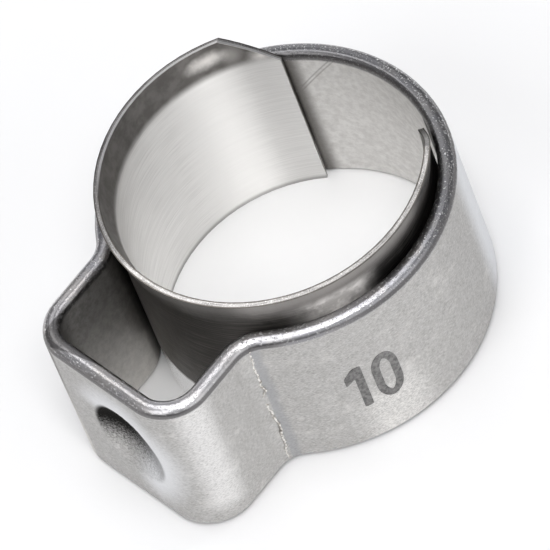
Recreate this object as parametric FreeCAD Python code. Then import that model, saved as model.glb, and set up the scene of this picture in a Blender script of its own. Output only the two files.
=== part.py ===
import FreeCAD, Part
import math
import os

# Ear hose clamp: a flat steel band closed into a ring with one pressed ear, and a thin
# open ring of sheet inside it that bridges the gap under the ear. Millimetres and degrees.
# The origin is the centre of the bore at half the band's width. +Z runs along the bore
# towards the inner ring's collar, and the ear points along -Y.

# Inner ring
bore_radius = 5.0  # the ring's inner face, where the hose sits
ring_sheet = 0.2
ring_opening = 69.0  # angle between the ring's two ends, opposite the ear
collar_rise = 1.35  # how far the collar stands above the band's rim
collar_angle = 12.4  # the collar's lean outward from the bore's axis
collar_bend_radius = 1.0  # on the ring's inner face
collar_bevel = 1.8  # length of the slanting cut that ends the collar, along the strip

# Band
band_width = 6.45
band_sheet = 0.6
outer_rim_radius = 0.35  # tumbled rounding of the band's long edges, outer face
inner_rim_radius = 0.2  # and inner face

# How the ring sits in the band
ring_play = 0.1  # radial play of a centred ring
ring_seat_gap = 0.01  # what is left of the play where the sprung ring bears, at -X

# Ear, measured from the band's own centre
ear_width = 6.7  # over the outer faces of the two flanks
ear_height = 8.6  # centre to the crown's outer face, at the crown's middle
ear_sideways = -0.43  # the ear's middle plane, off the band's centre
crown_tilt = 6.0  # the crown's slope as pressed, higher at its +X end
crown_corner_radius = 0.95  # on the inner face
root_radius = 1.0  # on the outer face, where a flank meets the ring

# Oval dimple pressed into the crown from outside
dimple_width = 2.8  # across the ear
dimple_length = 3.5  # along the band's width
dimple_depth = 0.45
dimple_sheet = 0.5  # the sheet where the press has thinned it
dimple_sideways = 0.35  # off the ear's middle plane
dimple_lip_radius = 0.25  # rounding of the dimple's edges on both faces

cut_margin = 1.0  # how far a cutting tool runs past what it cuts
tiny = 1e-6  # slack of a comparison

up = FreeCAD.Vector(0, 0, 1)
half_width = band_width / 2
ring_outer_radius = bore_radius + ring_sheet
band_inner_radius = ring_outer_radius + ring_play
band_centre = FreeCAD.Vector(ring_play - ring_seat_gap, 0, 0)


def crown_corner(inset, side):
    """Corner where the crown's face meets a flank's face, both moved in by inset."""
    x = side * (ear_width / 2 - inset)
    tilt = math.radians(crown_tilt)
    y = -ear_height + inset / math.cos(tilt) - x * math.tan(tilt)
    return FreeCAD.Vector(ear_sideways + x, y, -half_width)


def ear_block(inset):
    """Solid block of the ear from the band's centre to its crown."""
    left, right = crown_corner(inset, -1), crown_corner(inset, 1)
    back_left = FreeCAD.Vector(left.x, 0, left.z)
    back_right = FreeCAD.Vector(right.x, 0, right.z)
    outline = Part.makePolygon([back_left, left, right, back_right, back_left])
    return Part.Face(outline).extrude(up * band_width)


def filled_outline(radius, inset, crown_radius, root):
    """Disc and ear in one solid, with its crown corners and roots rounded."""
    disc = Part.makeCylinder(radius, band_width, up * -half_width)
    solid = disc.fuse(ear_block(inset)).removeSplitter()
    crown, roots = [], []
    for edge in solid.Edges:
        start, end = edge.Vertexes[0].Point, edge.Vertexes[-1].Point
        if abs(abs(start.z - end.z) - band_width) > tiny or start.y > -tiny:
            continue
        distance = math.hypot(start.x, start.y)
        (roots if abs(distance - radius) < tiny else crown).append(edge)
    return solid.makeFillet(crown_radius, crown).makeFillet(root, roots)


def dimple_tool(thickness):
    """Ball whose cap, at the crown's outer face, is the dimple grown by thickness."""
    half = dimple_width / 2
    ball_radius = (half ** 2 + dimple_depth ** 2) / (2 * dimple_depth)
    ball = Part.makeSphere(ball_radius + thickness)
    stretch = FreeCAD.Matrix()
    stretch.scale(1, 1, dimple_length / dimple_width)
    ball = ball.transformGeometry(stretch)
    lift = ball_radius - dimple_depth
    tilt = math.radians(crown_tilt)
    crown_y = -ear_height - dimple_sideways * math.tan(tilt)
    foot = FreeCAD.Vector(ear_sideways + dimple_sideways, crown_y, 0)
    ball.translate(foot + FreeCAD.Vector(-math.sin(tilt), -math.cos(tilt), 0) * lift)
    return ball


def rim_loops(solid):
    """The band's long edges in its two side planes: outer loops, then inner loops."""
    loops = []
    for face in solid.Faces:
        box = face.BoundBox
        if box.ZLength < tiny and abs(abs(box.ZMin) - half_width) < tiny:
            loops.append(sorted(face.Wires, key=lambda wire: -wire.Length))
    outer = [edge for wires in loops for edge in wires[0].Edges]
    inner = [edge for wires in loops for edge in wires[1].Edges]
    return outer, inner


def dimpled(solid, thickness):
    """The solid with the dimple's cap taken out of its crown and that edge rounded."""
    solid = solid.cut(dimple_tool(thickness))
    free_form = "Part::GeomBSplineSurface"
    cap = next(face for face in solid.Faces if face.Surface.TypeId == free_form)
    return solid.makeFillet(dimple_lip_radius, cap.OuterWire.Edges)


def clamp_band():
    """Band with its ear, closed into one piece."""
    outer_radius = band_inner_radius + band_sheet
    outer = filled_outline(
        outer_radius, 0, crown_corner_radius + band_sheet, root_radius
    )
    inner = filled_outline(
        band_inner_radius, band_sheet, crown_corner_radius, root_radius + band_sheet
    )
    band = dimpled(outer, 0).cut(dimpled(inner, dimple_sheet))
    band = band.makeFillet(outer_rim_radius, rim_loops(band)[0])
    band = band.makeFillet(inner_rim_radius, rim_loops(band)[1])
    band.translate(band_centre)
    return band


def ring_profile():
    """Section of the inner ring's sheet in the XZ plane: straight wall, bend, collar."""
    lean = math.radians(collar_angle)
    bend_centre = FreeCAD.Vector(bore_radius + collar_bend_radius, 0, half_width)
    out = FreeCAD.Vector(math.sin(lean), 0, math.cos(lean))

    def on_bend(radius, angle):
        return bend_centre + FreeCAD.Vector(-math.cos(angle), 0, math.sin(angle)) * radius

    inner, outer = collar_bend_radius, collar_bend_radius - ring_sheet
    straight = collar_rise / math.cos(lean) - inner * math.tan(lean)
    foot_in = FreeCAD.Vector(bore_radius, 0, -half_width)
    foot_out = FreeCAD.Vector(ring_outer_radius, 0, -half_width)
    bend_in = [on_bend(inner, angle) for angle in (0, lean / 2, lean)]
    bend_out = [on_bend(outer, angle) for angle in (lean, lean / 2, 0)]
    top_in, top_out = bend_in[2] + out * straight, bend_out[0] + out * straight
    edges = [
        Part.makeLine(foot_in, bend_in[0]),
        Part.Arc(*bend_in).toShape(),
        Part.makeLine(bend_in[2], top_in),
        Part.makeLine(top_in, top_out),
        Part.makeLine(top_out, bend_out[0]),
        Part.Arc(*bend_out).toShape(),
        Part.makeLine(bend_out[2], foot_out),
        Part.makeLine(foot_out, foot_in),
    ]
    return Part.Face(Part.Wire(edges))


def bevel_tool(end_angle, into):
    """Wedge that cuts the collar down to the band's rim at one end of the ring."""
    along = math.degrees(collar_bevel / ring_outer_radius)
    middle = math.radians(end_angle + into * along / 2)
    radial = FreeCAD.Vector(math.cos(middle), math.sin(middle), 0)
    tangent = FreeCAD.Vector(-math.sin(middle), math.cos(middle), 0) * into
    start = radial * (bore_radius - cut_margin)
    slope = collar_rise / collar_bevel
    reach = collar_bevel / 2 + cut_margin

    def point(s, z):
        return start + tangent * s + up * z

    middle_height = half_width + collar_rise / 2
    low, high = middle_height - slope * reach, middle_height + slope * reach
    corners = [point(-reach, low), point(reach, high), point(-reach, high)]
    wedge = Part.Face(Part.makePolygon(corners + corners[:1]))
    return wedge.extrude(radial * (ring_sheet + 2 * cut_margin))


def inner_ring():
    """Open ring of thin sheet, with a collar flared outward on its upper edge."""
    first_end = 90 + ring_opening / 2
    profile = ring_profile()
    profile.rotate(FreeCAD.Vector(), up, first_end)
    ring = profile.revolve(FreeCAD.Vector(), up, 360 - ring_opening)
    last_end = 90 - ring_opening / 2
    return ring.cut(bevel_tool(first_end, 1)).cut(bevel_tool(last_end, -1))


os.makedirs("parts", exist_ok=True)
for name, shape in (("clamp_band", clamp_band()), ("inner_ring", inner_ring())):
    shape.exportStep(f"parts/{name}.step")
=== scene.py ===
import math
import random
from types import SimpleNamespace

import bmesh
import bpy
from mathutils import Matrix, Vector


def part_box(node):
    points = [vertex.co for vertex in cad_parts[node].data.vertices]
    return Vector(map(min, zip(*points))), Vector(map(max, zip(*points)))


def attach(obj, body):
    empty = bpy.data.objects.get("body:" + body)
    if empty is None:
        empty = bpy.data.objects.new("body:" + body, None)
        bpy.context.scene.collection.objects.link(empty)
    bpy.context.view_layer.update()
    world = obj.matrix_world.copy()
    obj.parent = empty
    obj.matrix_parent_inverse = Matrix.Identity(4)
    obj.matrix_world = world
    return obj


# Ear hose clamp on a white table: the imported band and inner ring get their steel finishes,
# and the marks that the press and the etching leave on them are modelled as small pieces.

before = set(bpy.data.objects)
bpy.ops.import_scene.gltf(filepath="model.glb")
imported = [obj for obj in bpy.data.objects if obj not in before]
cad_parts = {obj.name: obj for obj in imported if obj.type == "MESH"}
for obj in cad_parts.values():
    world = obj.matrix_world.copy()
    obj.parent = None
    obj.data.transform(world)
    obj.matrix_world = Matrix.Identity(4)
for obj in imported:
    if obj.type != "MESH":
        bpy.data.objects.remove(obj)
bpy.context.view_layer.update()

MM = 0.001
band_low, band_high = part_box("clamp_band")
half_width = band_high.z / MM
ring_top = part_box("inner_ring")[1].z / MM

# Sizes of the clamp that the finishes follow, in millimetres and radians
band_centre = 0.09
bore = 5.3
sheet = 0.6
ear_sideways = -0.43
ear_half_width = 3.35
ear_height = 8.6
crown_tilt = math.radians(6.0)
dimple_sideways = 0.35
dimple_half_width = 1.4
dimple_half_length = 1.75
ring_bore = 5.0
ring_middle = 5.1  # half way through the ring's sheet
collar_lean = math.tan(math.radians(12.4))
collar_rise = 1.35
collar_cut = 1.8  # length of the slanting cut at each end of the collar
collar_cut_turns = (134.4, 45.6)  # azimuth of the middle of each slanting cut, in degrees

# The size mark: how high its middle is on the band, and how thick its digits are
mark_rise = -0.28
etching_depth = 0.03

floor_white = (0.855, 0.855, 0.855)


def camera():
    """The photograph's viewpoint, from above and in front of the band's right side."""
    data = bpy.data.cameras.new("camera")
    data.lens = 591.04
    data.sensor_width = 36.0
    data.clip_start = 0.01
    data.clip_end = 20.0
    holder = bpy.data.objects.new("camera", data)
    bpy.context.scene.collection.objects.link(holder)
    right = Vector((0.76242, 0.60299, -0.23478))
    up = Vector((-0.3966, 0.72214, 0.56677))
    back = Vector((0.5113, -0.339, 0.78972))
    turn = Matrix((right, up, back)).transposed().to_4x4()
    place = Vector((147.14, -98.662, 227.092)) * MM
    holder.matrix_world = Matrix.Translation(place) @ turn
    bpy.context.scene.camera = holder


class Finish:
    """A surface finish, built up as the nodes of one material, in millimetres on the piece."""

    def __init__(self, name):
        self.material = bpy.data.materials.new(name)
        self.material.use_nodes = True
        self.tree = self.material.node_tree
        self.tree.nodes.clear()
        metres = self.node("ShaderNodeTexCoord").outputs["Object"]
        self.place = self.scaled(metres, 1 / MM, 1 / MM, 1 / MM)
        self.x, self.y, self.z = self.node("ShaderNodeSeparateXYZ", Vector=self.place).outputs

    def put(self, socket, value):
        """Link a socket to the value, or set it; a colour is red, green and blue."""
        if isinstance(value, bpy.types.NodeSocket):
            self.tree.links.new(value, socket)
        elif socket.type == "RGBA":
            socket.default_value = (*value, 1)
        else:
            socket.default_value = value

    def node(self, kind, settings=(), **inputs):
        """A new node; an input's name is written with _ for each space in it."""
        made = self.tree.nodes.new(kind)
        for name, value in dict(settings).items():
            setattr(made, name, value)
        for name, value in inputs.items():
            self.put(made.inputs[name.replace("_", " ")], value)
        return made

    def math(self, operation, *values, kind="ShaderNodeMath"):
        made = self.node(kind, {"operation": operation})
        for socket, value in zip(made.inputs, values):
            self.put(socket, value)
        return made.outputs[0]

    def times(self, first, *others):
        for other in others:
            first = self.math("MULTIPLY", first, other)
        return first

    def plus(self, first, second):
        return self.math("ADD", first, second)

    def minus(self, first, second):
        return self.math("SUBTRACT", first, second)

    def larger(self, first, second):
        return self.math("MAXIMUM", first, second)

    def apart(self, first, second):
        """How far two values are from each other, either way."""
        return self.math("ABSOLUTE", self.minus(first, second))

    def length(self, first, second):
        squares = [self.times(part, part) for part in (first, second)]
        return self.math("SQRT", self.plus(*squares))

    def towards(self, turn, x, y):
        """How far a place lies from the bore's axis in one direction, given in degrees."""
        a = math.radians(turn)
        return self.plus(self.times(x, math.cos(a)), self.times(y, math.sin(a)))

    def between(self, value, low, high, to_low=0.0, to_high=1.0):
        """A smooth step from to_low to to_high, as the value goes from low to high."""
        smooth = {"interpolation_type": "SMOOTHSTEP"}
        ends = {"From_Min": low, "From_Max": high, "To_Min": to_low, "To_Max": to_high}
        return self.node("ShaderNodeMapRange", smooth, Value=value, **ends).outputs[0]

    def turned(self, azimuth, low, high, to_low=0.0, to_high=1.0):
        """A smooth step of an azimuth, with its ends in degrees."""
        return self.between(azimuth, math.radians(low), math.radians(high), to_low, to_high)

    def scaled(self, place, x, y, z):
        """A place, multiplied along each axis."""
        return self.node("ShaderNodeMapping", Vector=place, Scale=(x, y, z)).outputs[0]

    def noise(self, scale, detail=2.0, roughness=0.5, at=None):
        values = {"Scale": scale, "Detail": detail, "Roughness": roughness}
        return self.node("ShaderNodeTexNoise", Vector=at or self.place, **values).outputs[0]

    def streaks(self, x, y, z, detail=3.0, roughness=0.6):
        """Noise with a scale of its own along each axis."""
        return self.noise(1.0, detail, roughness, self.scaled(self.place, x, y, z))

    def spread(self, noise, to_low=0.0, to_high=1.0):
        """The middle of a noise's range, where nearly all of it is, drawn out to another."""
        return self.between(noise, 0.3, 0.7, to_low, to_high)

    def blend(self, factor, first, second, kind="RGBA"):
        made = self.node("ShaderNodeMix", {"data_type": kind})
        wanted = [socket for socket in made.inputs if socket.enabled]
        for socket, value in zip(wanted, (factor, first, second)):
            self.put(socket, value)
        return next(socket for socket in made.outputs if socket.enabled)

    def bump(self, height, distance, under=None):
        """Relief with its depth in millimetres, on top of another one if that is given."""
        made = self.node("ShaderNodeBump", Height=height, Distance=distance * MM)
        if under is not None:
            self.put(made.inputs["Normal"], under)
        return made.outputs[0]

    def steel(self, colour, roughness, normal, brushed, rim=0.0):
        """Bare steel, brushed round the bore, so that it scatters light up and down. On a rim
        the light runs along the strip instead. Across the strip's length is upward crossed with
        the way out of the surface, which leans off the bore's axis where it points straight up."""
        upward = self.node("ShaderNodeCombineXYZ", Z=1.0).outputs[0]
        surface = self.node("ShaderNodeNewGeometry").outputs["Normal"]
        lean, vectors = (0.02, 0.02, 0.02), "ShaderNodeVectorMath"
        outward = self.math("MULTIPLY_ADD", self.place, lean, surface, kind=vectors)
        along = self.math("CROSS_PRODUCT", upward, outward, kind=vectors)
        shader = self.node(
            "ShaderNodeBsdfPrincipled",
            Base_Color=colour,
            Metallic=1.0,
            Roughness=roughness,
            Normal=normal,
            Anisotropic=brushed,
            Tangent=self.blend(rim, upward, along, "VECTOR"),
        )
        self.node("ShaderNodeOutputMaterial", Surface=shader.outputs[0])
        return self.material


def band_places(f):
    """Where the band's surfaces are: distances in millimetres, and masks from 0 to 1."""
    p = SimpleNamespace()
    x = f.minus(f.x, band_centre)
    p.across = f.minus(x, ear_sideways)
    p.azimuth = f.math("ARCTAN2", f.y, x)
    p.radius = f.length(x, f.y)
    p.to_the_right = f.towards(52, x, f.y)
    p.in_bore = f.between(p.radius, bore + 0.3, bore + 0.22)

    to_flank = f.minus(f.math("ABSOLUTE", p.across), ear_half_width - sheet / 2)
    crown = f.minus(f.times(p.across, math.tan(crown_tilt)), f.y)
    p.to_crown = f.minus(crown, ear_height - sheet / 2)
    p.to_ear = f.larger(to_flank, p.to_crown)
    p.past_ring = f.between(f.y, -4.3, -4.5)
    p.in_ear = f.times(f.between(p.to_ear, -0.16, -0.24), p.past_ring)

    outer = f.minus(1.0, f.larger(p.in_bore, p.in_ear))
    low_rim = f.times(f.between(f.z, 0.2 - half_width, 0.1 - half_width), outer)
    p.rim = f.larger(f.between(f.z, half_width - 0.38, half_width - 0.26), low_rim)
    return p


def dimple_marks(f, p):
    """The dimple's pressed hollow, a painted sheen beside its lip, and a painted dark reflection
    high up in it.
    """
    u = f.math("DIVIDE", f.minus(p.across, dimple_sideways), dimple_half_width)
    v = f.math("DIVIDE", f.z, dimple_half_length)
    reach = f.length(u, v)
    crown_face = f.between(p.to_crown, -0.3, -0.2)
    pressed = f.times(crown_face, f.between(reach, 1.1, 0.95))
    # Painted sheen on the crown beside the dimple's lip.
    beside = f.larger(f.between(u, -0.4, 0.5), f.between(v, 0.4, 0.9))
    lip_sheen = f.times(f.between(reach, 1.85, 1.0), beside, crown_face)
    # Painted dark reflection high up in the dimple, with a ragged lower border.
    ragged = f.times(f.minus(f.noise(15.0, 2.0, 0.6), 0.5), 1.1)
    height = f.plus(f.plus(v, f.times(u, 0.35)), 0.21)
    dimple_shade = f.between(f.plus(height, ragged), -0.72, 0.26)
    to_the_side = f.between(u, -0.3, 0.8, 1.0, 0.42)
    dimple_shade = f.times(dimple_shade, f.between(v, 1.05, 0.9), pressed, to_the_side)
    return pressed, lip_sheen, dimple_shade


def band_face(f, p, grain, mottle, polish_and_highlight):
    """The tumbled outer face: fine grain and pale clouds, with painted highlights: a bright strip
    towards the right, a highlight on the polished corner and a sheen low on the face.
    """
    grain_dark, grain_pale, silver = (0.36, 0.352, 0.34), (0.63, 0.62, 0.605), (0.82, 0.82, 0.82)
    warm_white, right_highlight_white = (0.95, 0.93, 0.9), (0.93, 0.95, 0.98)
    corner_highlight_steel, sheen_steel = (0.95, 0.94, 0.93), (0.95, 0.935, 0.91)
    face = f.blend(f.spread(grain), grain_dark, grain_pale)
    face = f.blend(f.spread(mottle, 0.0, 0.16), face, silver)
    cloud = f.streaks(0.8, 0.8, 1.3, 5.0, 0.75)
    face = f.blend(f.between(cloud, 0.5, 0.75, 0.0, 0.3), face, warm_white)
    # Painted highlight: a cool bright strip on the face towards the band's right side.
    face = f.blend(f.between(p.to_the_right, 5.4, 5.8, 0.0, 0.7), face, right_highlight_white)
    # Painted highlight on the ear's polished corner, broken up by the grain.
    bright = f.times(polish_and_highlight, f.between(grain, 0.2, 0.6, 0.15, 0.7))
    face = f.blend(bright, face, corner_highlight_steel)
    # Painted sheen low on the face, broken up by the grain.
    painted_sheen = f.apart(p.azimuth, math.radians(-23))
    painted_sheen = f.times(f.turned(painted_sheen, 18, 3), f.between(f.z, -0.3, -1.5))
    painted_sheen = f.times(painted_sheen, f.between(grain, 0.3, 0.65, 0.1, 0.7))
    return f.blend(painted_sheen, face, sheen_steel)


def crease(f, p):
    """The grey crease beside the burr, where the ear's root is folded."""
    wavy = f.plus(p.azimuth, f.times(f.minus(f.noise(2.5), 0.5), 0.03))
    creased = f.times(f.turned(p.azimuth, -59.9, -59.4), f.turned(wavy, -55.5, -58.2))
    return f.times(creased, f.minus(1.0, p.in_bore), 0.45)


def band_walls(f, p, mottle):
    """The band's inner wall, with painted shade where the ring covers it, and the ear's wall, with
    painted shade that darkens it towards its top.
    """
    wall_dark, wall_pale = (0.65, 0.636, 0.618), (0.78, 0.77, 0.752)
    shade_behind_ring, ring_shadow = (0.09, 0.086, 0.082), (0.12, 0.11, 0.1)
    seam_grey, ear_top, ear_foot = (0.25, 0.24, 0.23), (0.1, 0.095, 0.09), (0.75, 0.73, 0.7)
    wall = f.blend(f.spread(mottle), wall_dark, wall_pale)
    # Painted shade where the ring covers the wall; the bare part between the ring's ends stays
    # light.
    bare = f.times(f.turned(p.azimuth, 63, 65), f.turned(p.azimuth, 126, 124))
    wall = f.blend(bare, shade_behind_ring, wall)
    # Painted shadow on the wall beside the ring's end.
    beside_ring = f.turned(p.azimuth, 118.5, 124, 0.0, 0.8)
    wall = f.blend(beside_ring, wall, ring_shadow)
    # Two faint lines run aslant down the wall: z falls by seam_fall for each radian
    seam_fall, seam_start, half_gap = 6.21, 14.672, 0.09
    to_seam = f.minus(f.plus(f.z, f.times(p.azimuth, seam_fall)), seam_start)
    seam_lines = f.apart(f.math("ABSOLUTE", to_seam), half_gap)
    seam = f.times(f.between(seam_lines, 0.06, 0.02), f.between(f.z, 0.9, 1.3), 0.45)
    wall = f.blend(seam, wall, seam_grey)
    # Painted shade in the ear: dark at its top, lighter towards its foot.
    shade = f.plus(f.between(f.z, 2.5, -2.5, 0.26, 0.93), f.spread(mottle, -0.06, 0.1))
    ear_wall = f.blend(shade, ear_top, ear_foot)
    wall = f.blend(f.between(f.y, -3.6, -4.8), wall, ear_wall)
    return wall, ear_wall


def band_rims(f, p, pits):
    """The glossy rims: blue and brown tints, pits with painted glints, painted shade on the far
    side, a painted highlight on the near side, and lines of painted shade along their borders.
    """
    blue, brown, back_shade_grey = (0.37, 0.368, 0.39), (0.44, 0.425, 0.42), (0.2, 0.2, 0.205)
    ear_silver, highlight_silver = (0.78, 0.75, 0.72), (0.85, 0.84, 0.86)
    pit_glint_white, shade_line_dark = (0.95, 0.95, 0.95), (0.12, 0.115, 0.115)
    metal = f.blend(f.between(f.noise(0.9), 0.4, 0.6), blue, brown)
    # Painted shade: the rim is darker on the far side.
    metal = f.blend(f.between(f.y, -0.5, 2.4, 0.0, 0.65), metal, back_shade_grey)
    metal = f.blend(f.between(f.y, -5.6, -6.6, 0.0, 0.25), metal, ear_silver)
    # Painted highlight: the rim is lighter on the near side, up to the ear.
    highlight_patch = f.times(f.between(f.x, 1.0, 2.2), f.turned(p.azimuth, -15, -38))
    metal = f.blend(f.times(highlight_patch, 0.27), metal, highlight_silver)
    # Painted glints in the pits.
    metal = f.blend(pits, metal, pit_glint_white)
    # Painted shade: dark lines along the rim's inner and outer borders, fainter on the near side.
    inner_line = f.times(f.between(p.to_ear, -0.26, -0.3), p.past_ring)
    inner_line = f.larger(f.between(p.radius, bore + 0.26, bore + 0.06), inner_line)
    above = f.between(f.z, half_width - 0.34, half_width - 0.28)
    below = f.between(f.z, half_width - 0.12, half_width - 0.18)
    off_the_ear = f.times(highlight_patch, f.turned(p.azimuth, -54, -46), 0.35)
    outer_line = f.times(above, below, f.minus(0.85, off_the_ear))
    lines = f.larger(f.times(inner_line, 0.75), outer_line)
    return f.blend(lines, metal, shade_line_dark)


def band_steel():
    """Tumbled steel: matt outside, with painted shade in the ear and under the ring, and glossy
    dented rims.
    """
    f = Finish("band_steel")
    p = band_places(f)
    lip_sheen_silver, crease_grey = (0.93, 0.94, 0.96), (0.33, 0.34, 0.37)
    dimple_shade_black = (0.012, 0.011, 0.01)
    mottle = f.noise(4.0, 4.0, 0.65)
    grain = f.streaks(10, 10, 34, roughness=0.65)
    pits = f.between(f.noise(15.0, 2.5, 0.65), 0.57, 0.66)
    dents = f.noise(3.5, 3.0, 0.55)
    # The ear's polished corner: smoother steel, and a painted highlight in its colour.
    corner_x, corner_y = 2.8, -7.85
    to_corner = f.length(f.minus(f.x, corner_x), f.minus(f.y, corner_y))
    polish_and_highlight = f.times(f.between(to_corner, 0.95, 0.15), f.between(f.z, -2.9, -1.8))
    pressed, lip_sheen, dimple_shade = dimple_marks(f, p)
    wall, ear_wall = band_walls(f, p, mottle)

    colour = band_face(f, p, grain, mottle, polish_and_highlight)
    # Painted sheen beside the dimple's lip, then its painted dark reflection.
    colour = f.blend(f.times(lip_sheen, 0.75), colour, lip_sheen_silver)
    colour = f.blend(dimple_shade, colour, dimple_shade_black)
    colour = f.blend(crease(f, p), colour, crease_grey)
    colour = f.blend(p.in_bore, colour, wall)
    colour = f.blend(p.in_ear, colour, ear_wall)
    colour = f.blend(p.rim, colour, band_rims(f, p, pits))

    roughness = f.spread(grain, 0.5, 0.6)
    roughness = f.blend(f.larger(polish_and_highlight, pressed), roughness, 0.42, "FLOAT")
    roughness = f.blend(dimple_shade, roughness, 0.85, "FLOAT")
    roughness = f.blend(p.rim, roughness, 0.32, "FLOAT")
    normal = f.bump(f.times(grain, f.minus(1.0, p.rim)), 0.012)
    relief = f.plus(f.times(pits, 0.4), f.times(dents, 0.3))
    normal = f.bump(f.times(relief, p.rim), 0.04, normal)
    return f.steel(colour, roughness, normal, brushed=0.65, rim=p.rim)


def ring_places(f):
    """Where the inner ring's surfaces are: distances in millimetres, and masks from 0 to 1."""
    r = SimpleNamespace()
    r.azimuth = f.math("ARCTAN2", f.y, f.x)
    flare = f.times(f.larger(f.minus(f.z, half_width + 0.11), 0.0), collar_lean)
    r.depth = f.minus(f.length(f.x, f.y), flare)
    r.outside = f.between(r.depth, ring_middle - 0.03, ring_middle + 0.03)
    r.collar = f.between(f.z, half_width + 0.02, half_width + 0.4)
    square_to_sheet = f.plus(f.z, f.times(f.minus(r.depth, ring_bore), collar_lean))
    r.edge = f.between(square_to_sheet, ring_top - 0.02, ring_top - 0.01)
    for turn, way in zip(collar_cut_turns, (1, -1)):
        along = f.times(f.towards(turn + 90 * way, f.x, f.y), collar_rise / collar_cut)
        to_cut = f.apart(f.z, f.plus(along, half_width + collar_rise / 2))
        this_side = f.between(f.towards(turn, f.x, f.y), 0.0, 1.0)
        above_band = f.between(f.z, half_width - 0.05, half_width)
        cut = f.times(f.between(to_cut, 0.03, 0.015), this_side, above_band)
        r.edge = f.larger(r.edge, cut)
    return r


def collar_inside(f, r, mottle):
    """The collar's inner face, painted dark as a dark reflection, with painted highlights near its
    far end.
    """
    dark, pale, highlight_spot_white = (0.165, 0.157, 0.149), (0.235, 0.225, 0.215), (0.98, 0.95, 0.92)
    colour = f.blend(f.between(mottle, 0.35, 0.7), dark, pale)
    # Each painted highlight's azimuth in degrees, height, width and height of its shape, and
    # strength
    highlight_spots = ((150.5, 4.05, 0.75, 0.3, 1.0), (141, 3.9, 0.4, 0.4, 0.3), (131, 3.6, 0.45, 0.32, 1.0))
    for turn, rise, width, height, strength in highlight_spots:
        along = f.math("DIVIDE", f.minus(r.azimuth, math.radians(turn)), width / ring_middle)
        above = f.math("DIVIDE", f.minus(f.z, rise), height)
        ragged = f.times(f.minus(mottle, 0.5), 0.9)
        spot = f.between(f.plus(f.length(along, above), ragged), 1.3, 0.0, 0.0, strength)
        colour = f.blend(spot, colour, highlight_spot_white)
    return colour


def ring_wall(f, lines):
    """The brushed wall in the bore, darker at its far end, with a painted highlight stripe and a
    painted contact shadow along its foot.
    """
    pale, bright = (0.86, 0.85, 0.83), (0.99, 0.98, 0.96)
    far_grey, contact_shadow_grey = (0.5, 0.49, 0.48), (0.3, 0.29, 0.28)
    wall = f.blend(f.spread(lines), pale, bright)
    far_end = f.times(f.between(f.x, -4.5, -3.2), f.between(f.y, 0.0, 1.5), 0.35)
    wall = f.blend(far_end, wall, far_grey)
    # Painted highlight: an upright bright stripe on the wall.
    highlight_stripe = f.between(f.towards(156, f.x, f.y), 4.72, 4.97, 0.0, 0.8)
    wall = f.blend(highlight_stripe, wall, bright)
    # Painted contact shadow along the ring's foot.
    contact_shadow = f.between(f.z, 0.25 - half_width, 0.04 - half_width, 0.0, 0.7)
    return f.blend(contact_shadow, wall, contact_shadow_grey)


def ring_outer_face(f, lines, mottle, highlight_patch, lower):
    """The outer face, streaked, with painted shade that keeps it dark, darkest towards the band's
    right side and lighter above the band, a painted highlight patch, and a lower part painted
    bright as a reflection of the floor.
    """
    dark, shade_darkest, streak_brown = (0.145, 0.137, 0.129), (0.05, 0.047, 0.045), (0.5, 0.465, 0.43)
    upper_grey, highlight_white = (0.34, 0.325, 0.31), (0.98, 0.95, 0.92)
    floor_reflection_white = (0.98, 0.98, 0.98)
    # Painted shade: dark all over, darkest towards the band's right side.
    face = f.blend(f.between(f.towards(25, f.x, f.y), 3.4, 4.7), dark, shade_darkest)
    face = f.blend(f.between(lines, 0.45, 0.7, 0.0, 0.3), face, streak_brown)
    upper = f.between(f.z, half_width + 0.2, half_width + 1.2)
    upper = f.times(upper, f.between(f.towards(45, f.x, f.y), 4.9, 4.3))
    face = f.blend(upper, face, upper_grey)
    highlight_patch = f.times(highlight_patch, f.between(mottle, 0.35, 0.65, 0.45, 0.85))
    face = f.blend(highlight_patch, face, highlight_white)
    return f.blend(lower, face, floor_reflection_white)


def shorn_edge(f, r):
    """The collar's cut edge: streaked and speckled by the shears, with dark borders."""
    dark, pale, speck_white = (0.2, 0.193, 0.186), (0.52, 0.505, 0.49), (0.9, 0.88, 0.86)
    border_dark, glint_white = (0.12, 0.11, 0.1), (0.99, 0.98, 0.97)
    across, along = f.times(r.depth, 26.0), f.times(r.azimuth, 7.0)
    place = f.node("ShaderNodeCombineXYZ", X=across, Y=along).outputs[0]
    torn, specks = f.noise(1.0, 3.0, 0.6, place), f.noise(22.0, 2.0, 0.6)
    edge = f.blend(f.between(torn, 0.3, 0.65), dark, pale)
    edge = f.blend(f.between(specks, 0.5, 0.7, 0.0, 0.6), edge, speck_white)
    border = f.between(f.apart(r.depth, ring_middle), 0.045, 0.075)
    edge = f.blend(border, edge, border_dark)
    inner_half = f.between(r.depth, ring_middle, ring_middle - 0.03)
    glint = f.times(inner_half, f.between(f.towards(150, f.x, f.y), 1.5, 3.0), 0.9)
    return f.blend(glint, edge, glint_white)


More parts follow.
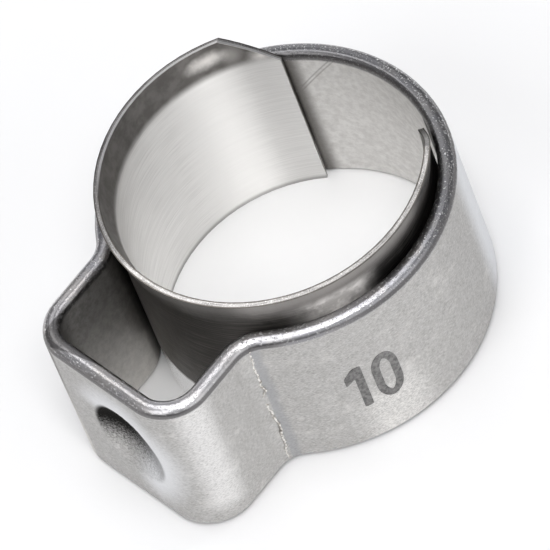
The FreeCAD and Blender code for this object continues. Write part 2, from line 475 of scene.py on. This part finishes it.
def ring_steel():
    """Rolled sheet, brushed along the strip, with painted shade on its outer face and a painted
    dark reflection on its collar.
    """
    f = Finish("ring_steel")
    r = ring_places(f)
    lines = f.streaks(0.6, 0.6, 18)
    strokes = f.streaks(9, 9, 0.8)
    mottle = f.noise(2.2, 3.0, 0.6)
    # Painted highlight patch on the outer face near the band's rim, which is also rougher.
    highlight_patch = f.times(f.turned(r.azimuth, -50, -30), f.turned(r.azimuth, -8, -20))
    highlight_patch = f.times(highlight_patch, f.between(f.z, half_width + 0.85, half_width + 0.3))
    # The outer face's lower part: smoother, and painted bright as a reflection of the floor.
    lower = f.between(f.z, -1.3, -1.6)

    inside = f.blend(r.collar, ring_wall(f, lines), collar_inside(f, r, mottle))
    colour = f.blend(r.outside, inside, ring_outer_face(f, lines, mottle, highlight_patch, lower))
    colour = f.blend(r.edge, colour, shorn_edge(f, r))

    smooth = f.spread(strokes, 0.32, 0.38)
    roughness = f.spread(lines, 0.4, 0.47)
    roughness = f.blend(f.larger(r.outside, r.collar), roughness, smooth, "FLOAT")
    roughness = f.blend(f.times(r.outside, highlight_patch), roughness, 0.48, "FLOAT")
    roughness = f.blend(f.times(r.outside, lower), roughness, 0.14, "FLOAT")
    return f.steel(colour, roughness, f.bump(lines, 0.004), brushed=0.93, rim=r.edge)


def etched_steel():
    """Dull dark grey that etching leaves on the band's face."""
    f = Finish("etched_steel")
    dark, pale, grain_grey = (0.14, 0.137, 0.135), (0.28, 0.275, 0.27), (0.5, 0.5, 0.5)
    grain = f.streaks(10, 10, 34)
    colour = f.blend(f.between(f.noise(6.0, 4.0, 0.7), 0.35, 0.65), dark, pale)
    colour = f.blend(f.between(grain, 0.45, 0.75, 0.0, 0.35), colour, grain_grey)
    return f.steel(colour, f.spread(grain, 0.5, 0.6), f.bump(grain, 0.006), brushed=0.65)


def burr_steel():
    """Bright torn edge of the crease, with darker hollows."""
    f = Finish("burr_steel")
    hollow, bright = (0.45, 0.42, 0.38), (0.97, 0.95, 0.92)
    torn = f.noise(9.0, 3.0, 0.6)
    colour = f.blend(f.between(torn, 0.35, 0.6), hollow, bright)
    return f.steel(colour, f.spread(torn, 0.35, 0.5), f.bump(torn, 0.01), brushed=0.3)


def begin():
    """Leave edit mode and deselect everything, before a new piece is added."""
    if bpy.context.object and bpy.context.object.mode != "OBJECT":
        bpy.ops.object.mode_set(mode="OBJECT")
    bpy.ops.object.select_all(action="DESELECT")


def settle(piece, name, material):
    """Give a new piece its name, finish and body, with its place in its mesh."""
    bpy.ops.object.transform_apply(location=True, rotation=True, scale=True)
    piece.name = name
    piece.data.materials.clear()
    piece.data.materials.append(material)
    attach(piece, "root")


def pick(piece, chosen):
    """Select, in edit mode, the edges whose two ends both pass the test."""
    bpy.ops.mesh.select_mode(type="EDGE")
    bpy.ops.mesh.select_all(action="DESELECT")
    net = bmesh.from_edit_mesh(piece.data)
    for edge in net.edges:
        if all(chosen(corner.co) for corner in edge.verts):
            edge.select_set(True)
    bmesh.update_edit_mesh(piece.data)


def start_digit(rounded, width, height):
    """Flat upright plate, facing -Y, drawn at the origin and left in edit mode."""
    begin()
    upright = (math.radians(90), 0, 0)
    if rounded:
        bpy.ops.mesh.primitive_circle_add(
            vertices=48, radius=0.5, fill_type="NGON", rotation=upright
        )
    else:
        bpy.ops.mesh.primitive_plane_add(size=1, rotation=upright)
    plate = bpy.context.object
    plate.scale = (width * MM, height * MM, 1)
    bpy.ops.object.transform_apply(location=False, rotation=True, scale=True)
    bpy.ops.object.mode_set(mode="EDIT")
    bpy.ops.mesh.select_mode(type="FACE")
    bpy.ops.mesh.select_all(action="SELECT")
    return plate


def press_on(plate, name, azimuth, material):
    """Lay a flat digit on the band's round face, as thin as etching."""
    bpy.ops.object.mode_set(mode="OBJECT")
    turn = math.radians(azimuth)
    plate.rotation_euler = (0, 0, turn + math.radians(90))
    reach = (bore + sheet + 0.05) * MM
    across, away = band_centre * MM + reach * math.cos(turn), reach * math.sin(turn)
    plate.location = (across, away, mark_rise * MM)
    bpy.ops.object.transform_apply(location=True, rotation=True, scale=False)
    wrap = plate.modifiers.new("wrap", "SHRINKWRAP")
    wrap.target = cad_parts["clamp_band"]
    wrap.wrap_mode = "ABOVE_SURFACE"
    wrap.offset = 0.014 * MM
    bpy.ops.object.modifier_apply(modifier=wrap.name)
    body = plate.modifiers.new("body", "SOLIDIFY")
    body.thickness = etching_depth * MM
    body.offset = -1
    bpy.ops.object.modifier_apply(modifier=body.name)
    settle(plate, name, material)


def digit_one(material):
    """An upright bar, with its flag drawn out of the top left side."""
    bar, tall, shoulder = 0.3, 2.08, 0.52
    plate = start_digit(False, bar, tall)
    bpy.ops.mesh.bisect(plane_co=(0, 0, shoulder * MM), plane_no=(0, 0, 1))
    pick(plate, lambda corner: corner.x < 0 and corner.z > (shoulder - 0.01) * MM)
    flag = {"value": (-0.34 * MM, 0, -0.32 * MM)}
    bpy.ops.mesh.extrude_region_move(TRANSFORM_OT_translate=flag)
    bpy.ops.transform.resize(value=(1, 1, 0.8))
    bpy.ops.mesh.select_all(action="SELECT")
    bpy.ops.mesh.bevel(offset=0.08 * MM, segments=3, affect="VERTICES")
    press_on(plate, "digit_one", -31.2, material)


def digit_nought(material):
    """A disc drawn out upwards and downwards, with its middle taken out."""
    width, tall, drawn_out, stroke = 0.95, 1.56, 0.33, 0.28
    plate = start_digit(True, width, tall)
    for side in (1, -1):
        pick(plate, lambda corner: corner.z * side > 0.001 * MM)
        bpy.ops.transform.translate(value=(0, 0, side * drawn_out * MM))
    bpy.ops.mesh.select_mode(type="FACE")
    bpy.ops.mesh.select_all(action="SELECT")
    bpy.ops.mesh.inset(thickness=stroke * MM, depth=0)
    bpy.ops.mesh.delete(type="FACE")
    press_on(plate, "digit_nought", -22.5, material)


def crease_burr(material):
    """Ragged ridge down the root of the ear, drawn out ring by ring."""
    # The ridge's line, as x, y and z from its top to its foot
    stops = ((3.14, -5.16, 2.95), (3.09, -5.28, 0.64), (3.09, -5.29, -0.88), (3.08, -5.3, -2.85))
    half_thickness, lowest, pace = 0.04, -2.82, 0.07
    x, y, z = stops[0]
    size, wander = 1.0, 0.0
    chance = random.Random(4)
    begin()
    start = (x * MM, y * MM, z * MM)
    bpy.ops.mesh.primitive_circle_add(
        vertices=8, radius=half_thickness * MM, fill_type="NGON", location=start
    )
    burr = bpy.context.object
    bpy.ops.object.transform_apply(location=True, rotation=False, scale=False)
    bpy.ops.object.mode_set(mode="EDIT")
    bpy.ops.mesh.select_all(action="SELECT")
    while z > lowest:
        new_z = z - pace * chance.uniform(0.6, 1.4)
        upper, under = next((a, b) for a, b in zip(stops, stops[1:]) if new_z >= b[2] - 0.1)
        part = (upper[2] - new_z) / (upper[2] - under[2])
        wander = wander * 0.75 + chance.uniform(-0.05, 0.05)
        new_x = upper[0] + (under[0] - upper[0]) * part + wander * 0.86
        new_y = upper[1] + (under[1] - upper[1]) * part + wander * 0.5
        new_size = chance.uniform(0.7, 1.4)
        step = Vector((new_x - x, new_y - y, new_z - z)) * MM
        bpy.ops.mesh.extrude_region_move(TRANSFORM_OT_translate={"value": step})
        ratio = new_size / size
        bpy.ops.transform.resize(value=(ratio, ratio, 1))
        x, y, z, size = new_x, new_y, new_z, new_size
    bpy.ops.mesh.select_all(action="SELECT")
    bpy.ops.mesh.normals_make_consistent(inside=False)
    bpy.ops.object.mode_set(mode="OBJECT")
    bpy.ops.object.shade_smooth()
    settle(burr, "crease_burr", material)


def dress(node, material):
    """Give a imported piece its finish."""
    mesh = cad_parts[node].data
    mesh.materials.clear()
    mesh.materials.append(material)


def table():
    """Wide white floor under the clamp."""
    bpy.ops.object.select_all(action="DESELECT")
    bpy.ops.mesh.primitive_circle_add(
        vertices=96, radius=3.0, fill_type="NGON", location=(0, 0, band_low.z)
    )
    floor = bpy.context.object
    floor.name = "table"
    bpy.ops.object.transform_apply(location=True, rotation=False, scale=False)
    f = Finish("white_table")
    white = f.node("ShaderNodeBsdfDiffuse", Color=floor_white)
    f.node("ShaderNodeOutputMaterial", Surface=white.outputs[0])
    floor.data.materials.append(f.material)


def softbox(name, azimuth, elevation, width, height, glow):
    """A soft panel one metre away that faces the clamp; glow is its brightness."""
    data = bpy.data.lights.new(name, "AREA")
    data.shape = "RECTANGLE"
    data.size, data.size_y = width, height
    data.energy = glow * math.pi * width * height
    lamp = bpy.data.objects.new(name, data)
    bpy.context.scene.collection.objects.link(lamp)
    a, e = math.radians(azimuth), math.radians(elevation)
    way = Vector((math.cos(a) * math.cos(e), math.sin(a) * math.cos(e), math.sin(e)))
    lamp.location = way
    lamp.rotation_euler = way.to_track_quat("Z", "Y").to_euler()


def room():
    """Soft studio light: a dim room, lighter overhead, with softboxes all round."""
    world = bpy.data.worlds.new("room")
    bpy.context.scene.world = world
    world.use_nodes = True
    tree = world.node_tree
    tree.nodes.clear()
    place = tree.nodes.new("ShaderNodeTexCoord")
    parts = tree.nodes.new("ShaderNodeSeparateXYZ")
    ramp = tree.nodes.new("ShaderNodeValToRGB")
    sky = tree.nodes.new("ShaderNodeBackground")
    out = tree.nodes.new("ShaderNodeOutputWorld")
    tree.links.new(place.outputs["Generated"], parts.inputs[0])
    tree.links.new(parts.outputs[2], ramp.inputs[0])
    tree.links.new(ramp.outputs[0], sky.inputs[0])
    tree.links.new(sky.outputs[0], out.inputs[0])
    low, high = ramp.color_ramp.elements
    low.position, low.color = 0.1, (0.14, 0.14, 0.145, 1)
    high.position, high.color = 0.8, (0.32, 0.32, 0.34, 1)
    softbox("overhead_softbox", 140, 88, 0.6, 0.6, 2.7)
    softbox("key_softbox", -25, 64, 0.26, 0.42, 10.8)
    softbox("front_softbox", -85, 42, 0.5, 0.6, 2.6)
    softbox("left_softbox", 180, 62, 0.3, 0.3, 2.4)
    softbox("right_panel", 3, 20, 1.0, 0.75, 1.0)
    softbox("back_panel", 140, 22, 0.5, 0.7, 0.75)
    softbox("far_lamp", 66, 55, 0.16, 0.16, 4.5)


camera()
room()
table()
dress("clamp_band", band_steel())
dress("inner_ring", ring_steel())
etched = etched_steel()
digit_one(etched)
digit_nought(etched)
crease_burr(burr_steel())
bpy.context.scene.view_settings.view_transform = "Standard"
